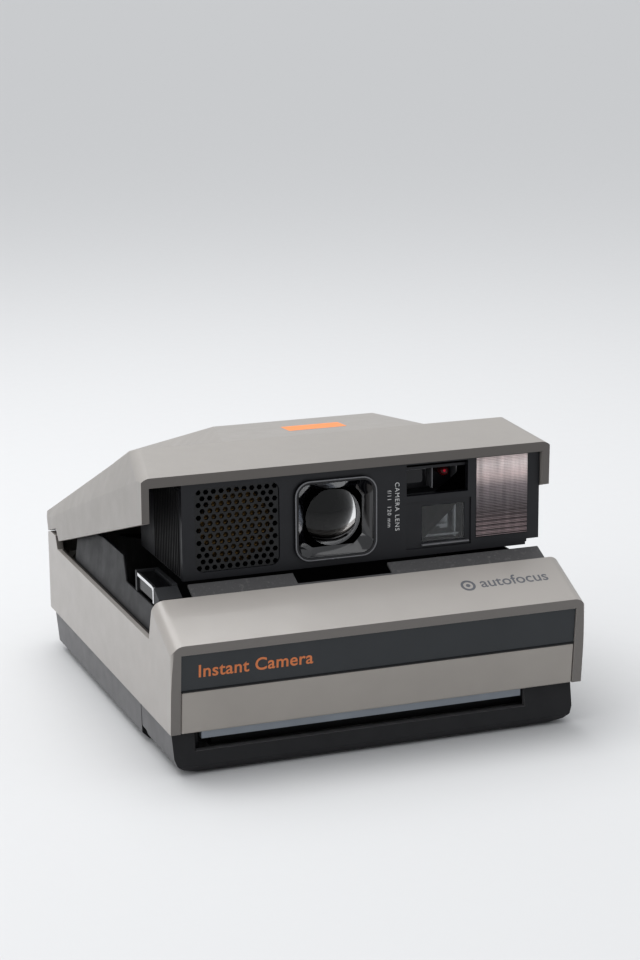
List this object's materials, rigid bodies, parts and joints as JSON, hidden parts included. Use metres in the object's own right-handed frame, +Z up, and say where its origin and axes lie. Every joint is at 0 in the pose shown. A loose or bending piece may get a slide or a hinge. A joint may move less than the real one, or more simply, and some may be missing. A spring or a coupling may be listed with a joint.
{
  "type": "folding instant camera",
  "caption": "Folding instant camera standing open: hinged top cover over a lens panel, sloped front, film door with ejection slot and rollers, sonar grille, flash and rear control panel.",
  "frame": {"origin": "middle of the camera's footprint, on the table under its feet", "axes": "+X to the right seen from the lens side, +Y towards the back, +Z up"},
  "size_m": [0.146, 0.165, 0.0978],
  "materials": {
    "taupe": "satin warm grey moulding",
    "rim_taupe": "satin dark warm grey moulding",
    "dark": "textured charcoal moulding",
    "black": "matt black",
    "gloss_black": "gloss black",
    "band": "satin blue grey",
    "grey": "satin grey",
    "chrome": "bright",
    "steel": "bright zinc",
    "brass": "bright",
    "gold": "gold foil",
    "gears": "white nylon",
    "rubber": "matt",
    "lens": "coated",
    "window": "clear",
    "fresnel": "ribbed clear",
    "mirror": "polished",
    "prints": "film edges",
    "board": "circuit board",
    "led": "diffuse lamp"
  },
  "bodies": {
    "camera_base": {"base_screws": "steel", "base_shell": "dark", "bellows": "rubber", "circuit_board": "board", "control_panel": "dark", "display_window": "window", "feet": "rubber", "film_frame": "black", "film_pack": "black", "film_prints": "prints", "front_band": "band", "front_chassis": "dark", "gear_bracket": "steel", "lower_cover": "taupe", "motor": "steel", "pivot_pins": "steel", "side_liners": "dark", "tripod_bush": "brass"},
    "upper_half": {"top_cover": "taupe", "eyepiece": "black", "optics_panel": "black", "sonar_grille": "black", "sonar_transducer": "gold", "lens_bezel": "grey", "lens_barrel": "black", "front_lens": "lens", "lens_housing": "black", "shutter_plate": "black", "finder_window": "window", "finder_tube": "black", "status_light": "led", "light_cell": "window", "flash_window": "fresnel", "flash_reflector": "chrome", "flash_tube": "window", "flash_capacitor": "steel", "mirror_carrier": "black", "mirror": "mirror"},
    "film_door": {"door_panel": "rim_taupe", "door_shell": "dark", "exit_strip": "grey"},
    "shutter_button": {"shutter_button": "gloss_black", "button_trim": "chrome"},
    "deck_cover": {"deck_cover": "dark"},
    "door_latch": {"door_latch": "dark"},
    "fold_latch": {"fold_latch": "dark"},
    "struts": {"struts": "steel"},
    "rear_idler": {"rear_idler": "gears"},
    "front_idler": {"front_idler": "gears"},
    "motor_pinion": {"motor_pinion": "brass"},
    "lower_roller": {"lower_roller": "steel"},
    "upper_roller": {"upper_roller": "steel"},
    "film_picker": {"film_picker": "steel"},
    "focus_switch": {"focus_switch": "gloss_black"},
    "timer_switch": {"timer_switch": "gloss_black"},
    "flash_switch": {"flash_switch": "gloss_black"},
    "exposure_slider": {"exposure_slider": "gloss_black"},
    "shutter_blade_left": {"shutter_blade_left": "steel"},
    "shutter_blade_right": {"shutter_blade_right": "steel"},
    "focus_arm": {"focus_arm": "black"}
  },
  "joints": [
    {"name": "fold", "type": "hinge", "parent": "camera_base", "child": "upper_half", "pos_m": [0, 0.0715, 0.047], "axis": [1, 0, 0], "range_deg": [0, 16.7], "deforming": ["bellows"]},
    {"name": "film_door", "type": "hinge", "parent": "camera_base", "child": "film_door", "pos_m": [0, -0.0419, 0.0025], "axis": [1, 0, 0], "range_deg": [0, 75]},
    {"name": "shutter_press", "type": "slide", "parent": "camera_base", "child": "shutter_button", "axis": [0, 0, -1], "range_m": [0, 0.001], "stiffness_N_per_m": 500, "springref_m": -0.001},
    {"name": "deck_slide", "type": "slide", "parent": "camera_base", "child": "deck_cover", "axis": [0, -0.907, -0.421], "range_m": [0, 0.0098]},
    {"name": "door_latch_slide", "type": "slide", "parent": "camera_base", "child": "door_latch", "axis": [0, 1, 0], "range_m": [0, 0.005]},
    {"name": "fold_latch_slide", "type": "slide", "parent": "camera_base", "child": "fold_latch", "axis": [0, 1, 0], "range_m": [0, 0.005]},
    {"name": "strut_swing", "type": "hinge", "parent": "camera_base", "child": "struts", "pos_m": [0, 0.0295, 0.033], "axis": [1, 0, 0], "range_deg": [0, 47.6]},
    {"name": "rear_idler_spin", "type": "hinge", "parent": "camera_base", "child": "rear_idler", "pos_m": [0.0617, -0.0369, 0.0136], "axis": [1, 0, 0], "continuous": true},
    {"name": "front_idler_spin", "type": "hinge", "parent": "camera_base", "child": "front_idler", "pos_m": [0.0617, -0.05374, 0.01163], "axis": [1, 0, 0], "continuous": true},
    {"name": "pinion_spin", "type": "hinge", "parent": "camera_base", "child": "motor_pinion", "pos_m": [0.0617, -0.02609, 0.0221], "axis": [1, 0, 0], "continuous": true},
    {"name": "lower_roller_spin", "type": "hinge", "parent": "film_door", "child": "lower_roller", "pos_m": [0, -0.0655, 0.0086], "axis": [1, 0, 0], "continuous": true},
    {"name": "upper_roller_spin", "type": "hinge", "parent": "film_door", "child": "upper_roller", "pos_m": [0, -0.0655, 0.015], "axis": [1, 0, 0], "continuous": true},
    {"name": "picker_stroke", "type": "slide", "parent": "camera_base", "child": "film_picker", "axis": [0, -1, 0], "range_m": [0, 0.0045]},
    {"name": "focus_switch_slide", "type": "slide", "parent": "camera_base", "child": "focus_switch", "axis": [0, 0, 1], "range_m": [-0.0025, 0.0025]},
    {"name": "timer_switch_slide", "type": "slide", "parent": "camera_base", "child": "timer_switch", "axis": [0, 0, 1], "range_m": [-0.0025, 0.0025]},
    {"name": "flash_switch_slide", "type": "slide", "parent": "camera_base", "child": "flash_switch", "axis": [0, 0, 1], "range_m": [-0.0025, 0.0025]},
    {"name": "exposure_slide", "type": "slide", "parent": "camera_base", "child": "exposure_slider", "axis": [1, 0, 0], "range_m": [-0.005, 0.005]},
    {"name": "blade_left_open", "type": "slide", "parent": "upper_half", "child": "shutter_blade_left", "axis": [-1, 0, 0], "range_m": [0, 0.0083]},
    {"name": "blade_right_open", "type": "slide", "parent": "upper_half", "child": "shutter_blade_right", "axis": [-1, 0, 0], "range_m": [-0.0083, 0]},
    {"name": "focus_swing", "type": "hinge", "parent": "upper_half", "child": "focus_arm", "pos_m": [-0.017, -0.0337, 0.0638], "axis": [0, -1, 0], "range_deg": [0, 45]}
  ],
  "couplings": [
    {"joint": "deck_slide", "follows": "fold", "m_per_rad": 0.0333},
    {"joint": "strut_swing", "follows": "fold", "ratio": 2.844},
    {"joint": "front_idler_spin", "follows": "lower_roller_spin", "ratio": -0.66667},
    {"joint": "rear_idler_spin", "follows": "lower_roller_spin", "ratio": 0.5},
    {"joint": "pinion_spin", "follows": "lower_roller_spin", "ratio": -1.2},
    {"joint": "upper_roller_spin", "follows": "lower_roller_spin", "ratio": -1},
    {"joint": "blade_right_open", "follows": "blade_left_open", "ratio": -1}
  ]
}
